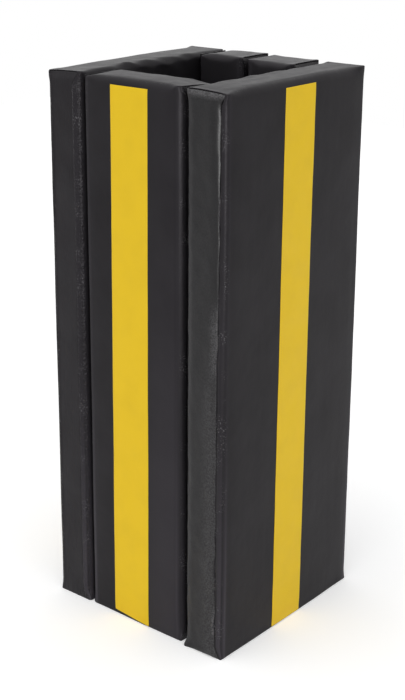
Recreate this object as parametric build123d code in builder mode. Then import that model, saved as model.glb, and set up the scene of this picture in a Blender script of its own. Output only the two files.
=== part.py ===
from build123d import *
from dataclasses import dataclass
import os

# Column protector pad: five foam pads in black vinyl covers, joined by folded vinyl hinge strips into a
# chain that closes round a square column and fastens with hook and loop tape at the front right corner.
# Millimetres, +Z up, origin on the floor under the middle of the closed pad, front towards -Y.

# Column and pads
COLUMN_SIDE = 203.2        # square column that the pads close round
SIDE_EASE = 10.8           # spare room across the column, which lets the closure part
HEIGHT = 914.4             # floor to the highest point of the tops
PAD_THICKNESS = 75.0       # column face to the fullest point of the outer face

# Gaps between the pads
CORNER_GAP = 3.0           # the two tight corners beside the left pad
CLOSURE_GAP = 11.0         # front pad to right pad, with the fastener tapes between them
REAR_MIDDLE_GAP = 11.0     # between the halves of the split rear pad
REAR_RIGHT_GAP = 14.0      # rear right pad to right pad

# Soft form of a pad
FACE_CROWN = 1.5           # the outer face's fullness over its ends
TOP_CROWN = 3.0            # the top's fullness over its ends
EDGE_ROLL = 10.0           # rounding of the upright corners and of the edges round the top
BASE_BEVEL = 4.0           # the edges round the base, pressed flat by the weight

# Vinyl cover and end panels
VINYL = 1.2                # cover sheet
PANEL_BACKING = 1.0        # the end panel's turned-in seam allowance
SEAM_ALLOWANCE = 4.0       # how far that allowance laps behind the cover's rim
SEAM_GROOVE = 0.6          # open line between the rim and the end panel
FOAM_EASE = 0.3            # room between the foam and its cover

# Yellow stripes
STRIPE_WIDTH = 76.2
STRIPE_FILM = 0.4          # thickness of the bonded vinyl
STRIPE_TOP_MARGIN = 10.5   # below the highest point of the top, where the top edge starts to roll
FRONT_STRIPE_OFFSET = -5.0   # the front stripe sits left of the pad's middle
FRONT_STRIPE_LEAN = -5.0     # its lower end against its upper one, along the pad

# Hinge strips
HINGE_VINYL = 1.0          # strip thickness
HINGE_RECESS = 4.5         # corner strips: outer face of the pads to the fold
REAR_HINGE_RECESS = 2.0    # rear strips, which fold nearer to the outer face
HINGE_FLANGE = 30.0        # sewn wings, from the fold's centre inwards
HINGE_FOOT = 15.0          # lower end of a strip above the floor
HINGE_HEADROOM = 24.0      # upper end of a strip below the tops

# Fastener tapes
TAPE_THICKNESS = 1.2
HOOK_WIDTH = 38.0
HOOK_MARGIN = 30.0         # each end of the hook tape, from the floor and the top
HOOK_CORNER = 3.0
LOOP_WING = 60.0           # the loop tape's reach along the column face
LOOP_EDGE = 16.0           # its other edge, in from the outer face
LOOP_FOOT = 6.0            # lower end above the floor
LOOP_HEADROOM = 14.0       # upper end below the tops

# Sizes that follow
END_RIM = EDGE_ROLL + SEAM_ALLOWANCE + VINYL
INNER_WIDTH = COLUMN_SIDE + SIDE_EASE
SIDE_LENGTH = COLUMN_SIDE + 2 * PAD_THICKNESS
FRONT_LENGTH = INNER_WIDTH - CORNER_GAP - CLOSURE_GAP
REAR_LENGTH = (INNER_WIDTH - CORNER_GAP - REAR_MIDDLE_GAP - REAR_RIGHT_GAP) / 2
END_HEIGHT = HEIGHT - TOP_CROWN
END_THICKNESS = PAD_THICKNESS - FACE_CROWN

# The loop tape stands proud at the front, so the pads sit half its thickness back to stay over the origin
SETBACK = TAPE_THICKNESS / 2
LEFT_FACE = -INNER_WIDTH / 2
RIGHT_FACE = INNER_WIDTH / 2
FRONT_FACE = SETBACK - COLUMN_SIDE / 2
REAR_FACE = SETBACK + COLUMN_SIDE / 2
FRONT_OUTSIDE = FRONT_FACE - PAD_THICKNESS
REAR_OUTSIDE = REAR_FACE + PAD_THICKNESS


@dataclass
class Pad:
    """One pad, placed by the point on the floor where its column face starts."""

    name: str
    start: tuple
    outward: tuple
    length: float
    end_names: tuple

    @property
    def plane(self):
        """Floor plane with x out of the column face and y along the pad, left to right from outside."""
        return Plane(origin=(*self.start, 0), x_dir=self.outward, z_dir=(0, 0, 1))

    @property
    def upright(self):
        """Plane of the column face with x along the pad and y up, facing outwards."""
        return Plane(origin=self.plane.origin, x_dir=self.plane.y_dir, z_dir=self.plane.x_dir)

    def end(self, at_start):
        """Plane of one end face, centred on it, with y up, facing away from the pad."""
        along = 0 if at_start else self.length
        normal = -self.plane.y_dir if at_start else self.plane.y_dir
        centre = self.plane.from_local_coords((END_THICKNESS / 2, along, END_HEIGHT / 2))
        return Plane(origin=centre, x_dir=Vector(0, 0, 1).cross(normal), z_dir=normal)


LEFT = Pad("left", (LEFT_FACE, REAR_OUTSIDE), (-1, 0, 0), SIDE_LENGTH, ("rear", "front"))
FRONT = Pad("front", (LEFT_FACE + CORNER_GAP, FRONT_FACE), (0, -1, 0), FRONT_LENGTH, ("left", "right"))
RIGHT = Pad("right", (RIGHT_FACE, FRONT_OUTSIDE), (1, 0, 0), SIDE_LENGTH, ("front", "rear"))
REAR_RIGHT = Pad(
    "rear_right",
    (RIGHT_FACE - REAR_RIGHT_GAP, REAR_FACE),
    (0, 1, 0),
    REAR_LENGTH,
    ("corner", "middle"),
)
REAR_LEFT = Pad(
    "rear_left",
    (LEFT_FACE + CORNER_GAP + REAR_LENGTH, REAR_FACE),
    (0, 1, 0),
    REAR_LENGTH,
    ("middle", "corner"),
)
PADS = (LEFT, FRONT, RIGHT, REAR_RIGHT, REAR_LEFT)


def save(builder, name):
    """Labels a finished piece and writes it under its own name."""
    builder.part.label = name
    export_step(builder.part, f"parts/{name}.step")


def pad_form(pad, skin=0.0, ease=0.0, end_skin=0.0, rolled=False):
    """Closed pad shape, flat on the column side and crowned outside and on top.

    skin draws every side in, end_skin the two ends, and ease all of them but the base. The upright edges
    and those round the top are rolled in a soft curve, or cut in a bevel inside that curve.
    """
    side = skin + ease
    start = end_skin + ease
    finish = pad.length - start
    outer = PAD_THICKNESS - side
    top = HEIGHT - side
    with BuildPart() as form:
        with BuildSketch(pad.plane.offset(skin)):
            with BuildLine():
                face = ThreePointArc(
                    (outer - FACE_CROWN, start), (outer, pad.length / 2), (outer - FACE_CROWN, finish)
                )
                Polyline(face @ 1, (side, finish), (side, start), face @ 0)
            make_face()
        extrude(amount=top - skin)
        with BuildSketch(pad.upright):
            with BuildLine():
                ridge = ThreePointArc(
                    (start, top - TOP_CROWN), (pad.length / 2, top), (finish, top - TOP_CROWN)
                )
                Polyline(ridge @ 1, (finish, skin), (start, skin), ridge @ 0)
            make_face()
        extrude(amount=PAD_THICKNESS, mode=Mode.INTERSECT)
        upright_edges = form.edges().filter_by(Axis.Z)
        top_edges = form.faces().sort_by(Axis.Z)[-1].edges()
        if rolled:
            fillet(upright_edges + top_edges, EDGE_ROLL - side)
        else:
            chamfer(upright_edges + top_edges, EDGE_ROLL - side)
        chamfer(form.faces().sort_by(Axis.Z)[0].edges(), BASE_BEVEL - side)
    return form.part


def end_opening(lap):
    """Rectangle of a cover's end opening, wider all round by lap."""
    width = END_THICKNESS - 2 * END_RIM + 2 * lap
    height = END_HEIGHT - 2 * END_RIM + 2 * lap
    return Rectangle(width, height)


def make_cover(pad):
    """Vinyl cover: a thin closed sleeve with an opening inside the rim of each end."""
    outside = pad_form(pad, rolled=True)
    inside = pad_form(pad, skin=VINYL, end_skin=VINYL)
    with BuildPart() as cover:
        add(outside)
        add(inside, mode=Mode.SUBTRACT)
        for at_start in (True, False):
            with BuildSketch(pad.end(at_start)):
                end_opening(0)
            extrude(amount=-VINYL, mode=Mode.SUBTRACT)
    save(cover, f"{pad.name}_cover")


def make_end_panel(pad, at_start):
    """End panel: flush with the rim in front, with a seam allowance that laps behind it."""
    with BuildPart() as panel:
        with BuildSketch(pad.end(at_start)):
            end_opening(-SEAM_GROOVE)
        extrude(amount=-VINYL)
        with BuildSketch(pad.end(at_start).offset(-VINYL)):
            end_opening(SEAM_ALLOWANCE)
        extrude(amount=-PANEL_BACKING)
    end_name = pad.end_names[0] if at_start else pad.end_names[1]
    save(panel, f"{pad.name}_{end_name}_end_panel")


def make_foam(pad):
    """Foam core: fills the cover between the two end panels and stands on its base."""
    filling = pad_form(pad, skin=VINYL, ease=FOAM_EASE, end_skin=VINYL + PANEL_BACKING)
    with BuildPart() as foam:
        add(filling)
    save(foam, f"{pad.name}_foam")


def make_stripe(pad, offset=0.0, lean=0.0):
    """Vinyl stripe bonded along the crowned outer face, from the roll of the top to the bevel of the base.

    offset is its distance from the pad's middle, and lean how far its lower end stands from its upper one.
    """
    half = STRIPE_WIDTH / 2
    top = HEIGHT - STRIPE_TOP_MARGIN
    high = pad.length / 2 + offset - lean / 2
    low = pad.length / 2 + offset + lean / 2
    with BuildPart() as stripe:
        with BuildSketch(pad.plane):
            with BuildLine():
                back, front = (
                    ThreePointArc(
                        (crest - FACE_CROWN, 0), (crest, pad.length / 2), (crest - FACE_CROWN, pad.length)
                    )
                    for crest in (PAD_THICKNESS, PAD_THICKNESS + STRIPE_FILM)
                )
                Line(back @ 0, front @ 0)
                Line(back @ 1, front @ 1)
            make_face()
        extrude(amount=HEIGHT)
        with BuildSketch(pad.upright):
            with BuildLine():
                Polyline(
                    (low - half, BASE_BEVEL),
                    (low + half, BASE_BEVEL),
                    (high + half, top),
                    (high - half, top),
                    close=True,
                )
            make_face()
        extrude(amount=PAD_THICKNESS + STRIPE_FILM, mode=Mode.INTERSECT)
    save(stripe, f"{pad.name}_stripe")


def make_hinge_strip(name, axis, inward, gap):
    """Vinyl strip folded round the hinge axis, with a wing sewn to each of the two pads."""
    outside = gap / 2
    inside = outside - HINGE_VINYL
    across = Vector(*inward).cross(Vector(0, 0, 1))
    with BuildPart() as strip:
        with BuildSketch(Plane(origin=(*axis, HINGE_FOOT), x_dir=across, z_dir=(0, 0, 1))):
            with BuildLine():
                fold = ThreePointArc((-outside, 0), (0, -outside), (outside, 0))
                lining = ThreePointArc((-inside, 0), (0, -inside), (inside, 0))
                for at, wing in ((0, -1), (1, 1)):
                    Polyline(
                        fold @ at,
                        (wing * outside, HINGE_FLANGE),
                        (wing * inside, HINGE_FLANGE),
                        lining @ at,
                    )
            make_face()
        extrude(amount=HEIGHT - HINGE_FOOT - HINGE_HEADROOM)
    save(strip, name)


def make_hook_tape():
    """Hook tape down the middle of the front pad's right end."""
    with BuildPart() as hook:
        with BuildSketch(FRONT.end(False)):
            RectangleRounded(HOOK_WIDTH, END_HEIGHT - 2 * HOOK_MARGIN, HOOK_CORNER)
        extrude(amount=TAPE_THICKNESS)
    save(hook, "front_hook_tape")


def make_loop_tape():
    """Loop tape wrapped from the right pad's column face round its corner and over its front end."""
    turn = EDGE_ROLL
    edge = END_THICKNESS - LOOP_EDGE
    out = -TAPE_THICKNESS
    with BuildPart() as loop:
        with BuildSketch(RIGHT.plane.offset(LOOP_FOOT)):
            with BuildLine():
                bed = RadiusArc((0, turn), (turn, 0), -turn)
                nap = RadiusArc((out, turn), (turn, out), -turn - TAPE_THICKNESS)
                Polyline(bed @ 0, (0, LOOP_WING), (out, LOOP_WING), nap @ 0)
                Polyline(bed @ 1, (edge, 0), (edge, out), nap @ 1)
            make_face()
        extrude(amount=HEIGHT - LOOP_FOOT - LOOP_HEADROOM)
    save(loop, "right_loop_tape")


os.makedirs("parts", exist_ok=True)

for each in PADS:
    make_cover(each)
    make_foam(each)
    make_end_panel(each, True)
    make_end_panel(each, False)

make_stripe(LEFT)
make_stripe(RIGHT)
make_stripe(FRONT, FRONT_STRIPE_OFFSET, FRONT_STRIPE_LEAN)

# Hinge axes, each on the fold's centre line in the gap that the strip bridges
corner_depth = HINGE_RECESS + CORNER_GAP / 2
left_axis_x = LEFT_FACE + CORNER_GAP / 2
middle_axis_x = LEFT_FACE + CORNER_GAP + REAR_LENGTH + REAR_MIDDLE_GAP / 2
right_axis_x = RIGHT_FACE - REAR_RIGHT_GAP / 2
middle_depth = REAR_HINGE_RECESS + REAR_MIDDLE_GAP / 2
right_depth = REAR_HINGE_RECESS + REAR_RIGHT_GAP / 2
make_hinge_strip(
    "front_left_hinge_strip", (left_axis_x, FRONT_OUTSIDE + corner_depth), (0, 1, 0), CORNER_GAP
)
make_hinge_strip(
    "rear_left_hinge_strip", (left_axis_x, REAR_OUTSIDE - corner_depth), (0, -1, 0), CORNER_GAP
)
make_hinge_strip(
    "rear_middle_hinge_strip", (middle_axis_x, REAR_OUTSIDE - middle_depth), (0, -1, 0), REAR_MIDDLE_GAP
)
make_hinge_strip(
    "rear_right_hinge_strip", (right_axis_x, REAR_OUTSIDE - right_depth), (0, -1, 0), REAR_RIGHT_GAP
)

make_hook_tape()
make_loop_tape()
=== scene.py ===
"""Column protector pad, dressed: padded vinyl covers, sewn ends, yellow stripes, tapes and hinge strips."""
import logging
import math
from dataclasses import dataclass, field
from enum import Enum
from typing import Optional, Sequence

import bmesh
import bpy
import numpy as np
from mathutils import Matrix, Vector
from mathutils.bvhtree import BVHTree


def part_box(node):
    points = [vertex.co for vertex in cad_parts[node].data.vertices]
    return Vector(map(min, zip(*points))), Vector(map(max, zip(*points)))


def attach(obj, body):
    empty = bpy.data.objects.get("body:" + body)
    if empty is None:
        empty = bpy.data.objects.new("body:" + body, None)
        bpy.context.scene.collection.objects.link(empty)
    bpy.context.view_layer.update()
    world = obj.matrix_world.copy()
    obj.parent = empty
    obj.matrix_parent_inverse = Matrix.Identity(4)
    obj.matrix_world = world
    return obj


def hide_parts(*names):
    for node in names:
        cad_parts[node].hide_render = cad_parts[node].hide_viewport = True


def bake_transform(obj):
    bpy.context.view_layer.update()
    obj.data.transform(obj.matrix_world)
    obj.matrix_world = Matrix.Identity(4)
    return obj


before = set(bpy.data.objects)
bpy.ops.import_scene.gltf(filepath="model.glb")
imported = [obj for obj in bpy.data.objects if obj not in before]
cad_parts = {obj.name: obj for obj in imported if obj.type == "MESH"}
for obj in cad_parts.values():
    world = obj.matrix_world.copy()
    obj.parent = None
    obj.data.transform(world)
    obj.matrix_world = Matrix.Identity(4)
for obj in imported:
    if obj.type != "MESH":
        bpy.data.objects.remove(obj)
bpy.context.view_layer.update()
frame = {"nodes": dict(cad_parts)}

Array = np.ndarray
Socket = bpy.types.NodeSocket
Pair = tuple[float, float]
Triple = tuple[float, float, float]

LOG = logging.getLogger("column_pad")
UP = np.array([0.0, 0.0, 1.0])
FIRST_SEED = 100
SEEDS_PER_PAD = 10
TINY = 1e-9


class PadName(Enum):
    """The five pads, by the prefix of their nodes."""

    LEFT = "left"
    FRONT = "front"
    RIGHT = "right"
    REAR_RIGHT = "rear_right"
    REAR_LEFT = "rear_left"

    @property
    def body(self) -> str:
        """Name of the body that the pad's pieces ride on."""
        return f"{self.value}_pad"

    @property
    def seed(self) -> int:
        """First seed of the pad's own waviness."""
        return FIRST_SEED + SEEDS_PER_PAD * list(PadName).index(self)

    def middle(self) -> Array:
        """Middle of the pad's cover at rest."""
        low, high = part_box(f"{self.value}_cover")
        return (np.array(low) + np.array(high)) / 2


class End(Enum):
    """The two ends of a pad, counted left to right from outside."""

    START = 0
    FINISH = 1

    @property
    def inward(self) -> float:
        """Sign of the way into the pad from this end."""
        return 1.0 if self is End.START else -1.0


class Slot(Enum):
    """Material slots of the record."""

    BLACK_VINYL = "black_vinyl"
    YELLOW_VINYL = "yellow_vinyl"
    FOAM = "foam"
    HOOK_TAPE = "hook_tape"
    LOOP_TAPE = "loop_tape"


class Seam(Enum):
    """How vinyl lies along a pad's end seams: the depth of its puckers in metres."""

    EVEN = 0.0004
    GATHERED = 0.0007
    PUCKERED = 0.0016


def smooth(x: Array, start: float, end: float) -> Array:
    """Smoothstep of x, from 0 at start to 1 at end."""
    t = np.clip((x - start) / (end - start), 0.0, 1.0)
    return t * t * (3.0 - 2.0 * t)


def fade(x: Array, start: float, end: float) -> Array:
    """Smoothstep of x, from 1 at start to 0 at end."""
    return 1.0 - smooth(x, start, end)


def sided(outer: Array, pair: Pair) -> Array:
    """A pair's value for the column side or for the outer side, place by place."""
    return np.where(outer, pair[1], pair[0])


def graded(length: float, fine: float, coarse: float, growth: float = 1.35) -> Array:
    """Places along a length, close together at both ends and wider apart between them.

    Args:
        length: Distance to divide.
        fine: First step from each end.
        coarse: Step in the middle.
        growth: Ratio of each step to the one before it.

    Returns:
        Rising distances from 0 to length.
    """
    steps = []
    step = fine
    while step < coarse and sum(steps) + step < length / 2:
        steps.append(step)
        step *= growth
    head = np.concatenate([[0.0], np.cumsum(steps)])
    spaces = max(2, round((length - 2 * head[-1]) / coarse) + 1)
    middle = np.linspace(head[-1], length - head[-1], spaces)
    return np.concatenate([head[:-1], middle, length - head[-2::-1]])


@dataclass(frozen=True)
class Ripple:
    """Soft waviness of cloth: a sum of seeded plane waves."""

    seed: int
    wavelength: float
    waves: int = 8
    spread: Pair = (0.6, 1.7)

    def at(self, points: Array) -> Array:
        """Height of the waves, about -1 to 1.

        Args:
            points: Points of shape (n, 3).

        Returns:
            One height for each point.
        """
        draw = np.random.RandomState(self.seed)
        total = np.zeros(len(points))
        for _ in range(self.waves):
            direction = draw.normal(size=3)
            turns = 2 * math.pi / (self.wavelength * draw.uniform(*self.spread))
            phase = draw.uniform(0, 2 * math.pi)
            total += np.sin(points @ (direction / np.linalg.norm(direction)) * turns + phase)
        return total / self.waves ** 0.5


@dataclass
class Shell:
    """Vertices, faces, wear weights and painted sheen weights of a mesh in the making."""

    points: Array
    faces: list
    edge: Optional[Array] = None
    painted_sheen: Optional[Array] = None

    @classmethod
    def slab(cls, front: Array, back: Array, edge: Optional[Array] = None) -> "Shell":
        """Closed thin shell between two grids.

        Args:
            front: Grid of points (rows, columns, 3).
            back: Grid of the same shape.
            edge: Edge weights (rows, columns) of both grids, if any.

        Returns:
            The shell, with a strip of faces round its border.
        """
        rows, columns = front.shape[:2]
        count = rows * columns
        index = np.arange(count).reshape(rows, columns)
        corners = [index[:-1, :-1], index[1:, :-1], index[1:, 1:], index[:-1, 1:]]
        quads = np.stack(corners, -1).reshape(-1, 4)
        border = np.concatenate([index[0, :-1], index[:-1, -1], index[-1, :0:-1], index[:0:-1, 0]])
        follow = np.roll(border, -1)
        sides = np.stack([border, follow, follow + count, border + count], -1)
        faces = [*quads.tolist(), *(quads[:, ::-1] + count).tolist(), *sides.tolist()]
        weights = None if edge is None else np.concatenate([edge.ravel(), edge.ravel()])
        return cls(np.concatenate([front.reshape(-1, 3), back.reshape(-1, 3)]), faces, weights)

    def make(self, name: str, material: bpy.types.Material) -> bpy.types.Object:
        """Smooth-shaded object in the scene, with its normals outwards.

        Args:
            name: The object's name.
            material: Its first material.

        Returns:
            The new object.
        """
        mesh = bpy.data.meshes.new(name)
        mesh.from_pydata(self.points.tolist(), [], self.faces)
        work = bmesh.new()
        work.from_mesh(mesh)
        bmesh.ops.recalc_face_normals(work, faces=work.faces)
        work.to_mesh(mesh)
        work.free()
        mesh.shade_smooth()
        for weight in ("edge", "painted_sheen"):
            values = getattr(self, weight)
            if values is not None:
                stored = mesh.attributes.new(weight, "FLOAT", "POINT")
                stored.data.foreach_set("value", values.astype(np.float32))
        mesh.materials.append(material)
        made = bpy.data.objects.new(name, mesh)
        bpy.context.scene.collection.objects.link(made)
        return made


@dataclass(frozen=True)
class Mottle:
    """A layer of noise: its scale per metre, its detail, and the range of it that becomes a share."""

    scale: float
    detail: float = 3.0
    cut: Pair = (0.0, 1.0)
    share: Pair = (0.0, 1.0)


class NodeBench:
    """Lays a material's or the world's nodes and links them by socket name."""

    MIX_COLOURS = (6, 7)
    MIX_RESULT = 2

    def __init__(self, tree: bpy.types.NodeTree) -> None:
        """Starts on an emptied node tree."""
        tree.nodes.clear()
        self.tree = tree

    def lay(self, kind: str, inputs: Optional[dict] = None, **settings: object) -> bpy.types.Node:
        """Adds a node.

        Args:
            kind: The node's type.
            inputs: Input name or number to a value, or to an output socket that is linked to it.
            **settings: Properties of the node.

        Returns:
            The new node.
        """
        node = self.tree.nodes.new(kind)
        for key, value in settings.items():
            setattr(node, key, value)
        self.wire(node, inputs or {})
        return node

    def wire(self, node: bpy.types.Node, inputs: dict) -> None:
        """Sets a node's inputs.

        Args:
            node: The node.
            inputs: Input name or number to a value, or to an output socket that is linked to it.
        """
        for key, value in inputs.items():
            if isinstance(value, Socket):
                self.tree.links.new(value, node.inputs[key])
            else:
                node.inputs[key].default_value = value

    def weight(self, name: str) -> Socket:
        """A weight stored on the mesh's points."""
        return self.lay("ShaderNodeAttribute", attribute_name=name).outputs["Fac"]

    def noise(self, place: Socket, layer: Mottle) -> Socket:
        """Plain value of a layer of noise at a place, from 0 to 1."""
        inputs = {"Vector": place, "Scale": layer.scale, "Detail": layer.detail}
        return self.lay("ShaderNodeTexNoise", inputs).outputs[0]

    def mottle(self, place: Socket, layer: Mottle) -> Socket:
        """Share that a layer of noise gives at a place."""
        return self.span(self.noise(place, layer), layer.cut, layer.share)

    def cells(self, place: Socket, scale: float) -> Socket:
        """Distance from the middle of a cell, in a pattern of so many cells to the metre."""
        return self.lay("ShaderNodeTexVoronoi", {"Vector": place, "Scale": scale}).outputs["Distance"]

    def upward(self, vector: Socket) -> Socket:
        """The upward part of a vector."""
        return self.lay("ShaderNodeSeparateXYZ", {0: vector}).outputs[2]

    def span(self, value: Socket, source: Pair, target: Pair) -> Socket:
        """Value mapped from one range to another, held at its ends."""
        inputs = {0: value, 1: source[0], 2: source[1], 3: target[0], 4: target[1]}
        return self.lay("ShaderNodeMapRange", inputs).outputs[0]

    def join(self, operation: str, a: Socket, b: Socket) -> Socket:
        """Two values joined by a named operation."""
        return self.lay("ShaderNodeMath", {0: a, 1: b}, operation=operation).outputs[0]

    def times(self, a: Socket, b: Socket) -> Socket:
        """Product of two values."""
        return self.join("MULTIPLY", a, b)

    def tint(self, factor: Socket, a: object, b: object) -> Socket:
        """Colour between two others.

        Args:
            factor: Share of the second colour.
            a: First colour, or a socket of one.
            b: Second colour, or a socket of one.

        Returns:
            The mixed colour.
        """
        mix = self.lay("ShaderNodeMix", {0: factor}, data_type="RGBA")
        for number, value in zip(self.MIX_COLOURS, (a, b)):
            self.wire(mix, {number: value if isinstance(value, Socket) else (*value, 1.0)})
        return mix.outputs[self.MIX_RESULT]

    def bump(self, height: Socket, depth: float, under: Optional[Socket] = None) -> Socket:
        """Normal of a relief.

        Args:
            height: Height of the relief, from 0 to 1.
            depth: What a height of 1 stands for, in metres.
            under: Normal of the relief that it lies over, if any.

        Returns:
            The normal.
        """
        inputs = {"Height": height, "Distance": depth, "Strength": 1.0}
        if under is not None:
            inputs["Normal"] = under
        return self.lay("ShaderNodeBump", inputs).outputs[0]


@dataclass(frozen=True)
class Finish:
    """What all finishes share: a named material with one surface shader."""

    name: str

    def material(self) -> bpy.types.Material:
        """The finish's material, made on first use.

        Returns:
            The material.
        """
        known = bpy.data.materials.get(self.name)
        if known:
            return known
        made = bpy.data.materials.new(self.name)
        made.use_nodes = True
        bench = NodeBench(made.node_tree)
        surface = bench.lay("ShaderNodeBsdfPrincipled")
        bench.lay("ShaderNodeOutputMaterial", {"Surface": surface.outputs[0]})
        place = bench.lay("ShaderNodeTexCoord").outputs["Object"]
        bench.wire(surface, self.dress(bench, place))
        return made

    def dress(self, bench: NodeBench, place: Socket) -> dict:
        """Lays the finish's own nodes.

        Args:
            bench: The material's nodes.
            place: Place on the object, in metres.

        Returns:
            Inputs of the surface shader.
        """
        raise NotImplementedError


@dataclass(frozen=True)
class BlackVinyl(Finish):
    """Satin black vinyl with a fine grain, rubbed along its edges, with a little lint on top, and with paler
    painted highlight bands and painted light.
    """

    deep: Triple = (0.0116, 0.0106, 0.0120)
    worn: Triple = (0.0160, 0.0148, 0.0166)
    rubbed: Triple = (0.110, 0.106, 0.112)
    # Paler colour of the painted highlight bands and of the painted light towards the closing end.
    painted_highlight: Triple = (0.0500, 0.0455, 0.0535)
    lint: Triple = (0.30, 0.29, 0.28)
    cast: Triple = (0.99, 0.94, 1.00)
    gloss: Pair = (0.40, 0.46)
    specular: float = 0.120
    grain: float = 0.00005
    dimples: float = 0.00030
    pucker: float = Seam.EVEN.value
    clouds: Mottle = Mottle(14.0, 5.0, (0.35, 0.65))
    streaks: Mottle = Mottle(1.0, cut=(0.3, 0.7))
    streak_pull: Triple = (90.0, 90.0, 6.0)
    patches: Mottle = Mottle(24.0, 1.0, (0.50, 0.64))
    scuffs: Mottle = Mottle(420.0, 2.0, (0.56, 0.70))
    specks: Mottle = Mottle(650.0, 0.0, (0.82, 0.86))
    level: Pair = (0.6, 0.9)
    lint_share: float = 0.6
    dents: Mottle = Mottle(55.0, 2.0)
    crumples: Mottle = Mottle(240.0, 2.0)
    grain_cells: float = 620.0

    def dress(self, bench: NodeBench, place: Socket) -> dict:
        """Mottled black, painted highlight bands and painted light, rubbed edges, lint, varied gloss and a
        relief of three scales.

        Args:
            bench: The material's nodes.
            place: Place on the object, in metres.

        Returns:
            Inputs of the surface shader.
        """
        edge = bench.weight("edge")
        pulled = bench.lay("ShaderNodeMapping", {"Vector": place, "Scale": self.streak_pull}).outputs[0]
        scuffed = bench.times(bench.mottle(place, self.scuffs), bench.mottle(place, self.patches))
        facing = bench.upward(bench.lay("ShaderNodeNewGeometry").outputs["Normal"])
        on_top = bench.span(facing, self.level, (0.0, self.lint_share))
        shade = bench.tint(bench.mottle(place, self.clouds), self.deep, self.worn)
        # Painted highlight: paler where the painted sheen weight is, in place of reflections on corners,
        # folds and the closing end.
        shade = bench.tint(bench.weight("painted_sheen"), shade, self.painted_highlight)
        shade = bench.tint(bench.times(edge, scuffed), shade, self.rubbed)
        shade = bench.tint(bench.times(on_top, bench.mottle(place, self.specks)), shade, self.lint)
        soft = bench.bump(bench.noise(place, self.dents), self.dimples)
        crumpled = bench.bump(bench.times(edge, bench.noise(place, self.crumples)), self.pucker, soft)
        return {
            "Base Color": shade,
            "Roughness": bench.span(bench.noise(pulled, self.streaks), self.streaks.cut, self.gloss),
            "Specular IOR Level": self.specular,
            "Specular Tint": (*self.cast, 1.0),
            "Normal": bench.bump(bench.cells(place, self.grain_cells), self.grain, crumpled),
        }


@dataclass(frozen=True)
class YellowFilm(Finish):
    """Satin safety yellow vinyl film, a little soiled."""

    clean: Triple = (0.835, 0.555, 0.014)
    soiled: Triple = (0.740, 0.485, 0.014)
    specular: float = 0.16
    soil: Mottle = Mottle(22.0, 6.0, (0.45, 0.80), (0.0, 0.45))
    gloss: Mottle = Mottle(40.0, cut=(0.3, 0.7), share=(0.38, 0.50))
    dents: Mottle = Mottle(55.0, 2.0)
    dimples: float = 0.00025
    grain_cells: float = 620.0
    grain: float = 0.00004

    def dress(self, bench: NodeBench, place: Socket) -> dict:
        """Yellow with soft soiling and the vinyl's grain.

        Args:
            bench: The material's nodes.
            place: Place on the object, in metres.

        Returns:
            Inputs of the surface shader.
        """
        soft = bench.bump(bench.noise(place, self.dents), self.dimples)
        return {
            "Base Color": bench.tint(bench.mottle(place, self.soil), self.clean, self.soiled),
            "Roughness": bench.mottle(place, self.gloss),
            "Specular IOR Level": self.specular,
            "Normal": bench.bump(bench.cells(place, self.grain_cells), self.grain, soft),
        }


@dataclass(frozen=True)
class NappedPile(Finish):
    """Matted pile of a fastener tape, in tufts of a given size, frayed at its cut ends, with painted light
    and a painted sheen band in its pale tone.
    """

    dark: Triple = (0.0080, 0.0074, 0.0084)
    pale: Triple = (0.0168, 0.0158, 0.0176)
    # Pale tone for frayed and scuffed pile, also used for painted light on the tape's top and for a painted
    # sheen band.
    fray_and_painted_sheen: Triple = (0.0850, 0.0820, 0.0860)
    tuft: float = 420.0
    clump: float = 9.0
    clump_detail: float = 4.0
    clump_cut: Pair = (0.25, 0.7)
    clump_share: Pair = (0.45, 1.0)
    tuft_cut: Pair = (0.35, 0.7)
    pale_tuft_cut: Pair = (0.35, 0.65)
    pale_tuft_share: Pair = (0.1, 1.0)
    relief: float = 0.0002
    roughness: float = 0.36
    sheen: float = 0.03
    specular: float = 0.26

    def dress(self, bench: NodeBench, place: Socket) -> dict:
        """Mottled tufts in clumps, paler where they are frayed or scuffed and where light and sheen are
        painted.

        Args:
            bench: The material's nodes.
            place: Place on the object, in metres.

        Returns:
            Inputs of the surface shader.
        """
        clumps = bench.noise(place, Mottle(self.tuft / self.clump, self.clump_detail))
        tufts = bench.noise(place, Mottle(self.tuft))
        clumped = bench.span(clumps, self.clump_cut, self.clump_share)
        mixed = bench.times(clumped, bench.span(tufts, self.tuft_cut, (0.0, 1.0)))
        # Share of the pale tone: frayed and scuffed pile, plus painted light and a painted sheen band.
        pale_tufts = bench.times(bench.weight("edge"), bench.span(tufts, self.pale_tuft_cut, self.pale_tuft_share))
        return {
            "Base Color": bench.tint(pale_tufts, bench.tint(mixed, self.dark, self.pale), self.fray_and_painted_sheen),
            "Roughness": self.roughness,
            "Sheen Weight": self.sheen,
            "Specular IOR Level": self.specular,
            "Normal": bench.bump(tufts, self.relief, bench.bump(clumps, 2 * self.relief)),
        }


@dataclass(frozen=True)
class OpenCellFoam(Finish):
    """Charcoal foam with open cells."""

    cell: Triple = (0.05, 0.05, 0.054)
    wall: Triple = (0.19, 0.19, 0.20)
    cells: float = 700.0
    relief: float = 0.0006
    roughness: float = 0.95

    def dress(self, bench: NodeBench, place: Socket) -> dict:
        """Dark cells between paler walls.

        Args:
            bench: The material's nodes.
            place: Place on the object, in metres.

        Returns:
            Inputs of the surface shader.
        """
        cells = bench.cells(place, self.cells)
        return {
            "Base Color": bench.tint(cells, self.cell, self.wall),
            "Roughness": self.roughness,
            "Normal": bench.bump(cells, self.relief),
        }


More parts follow.
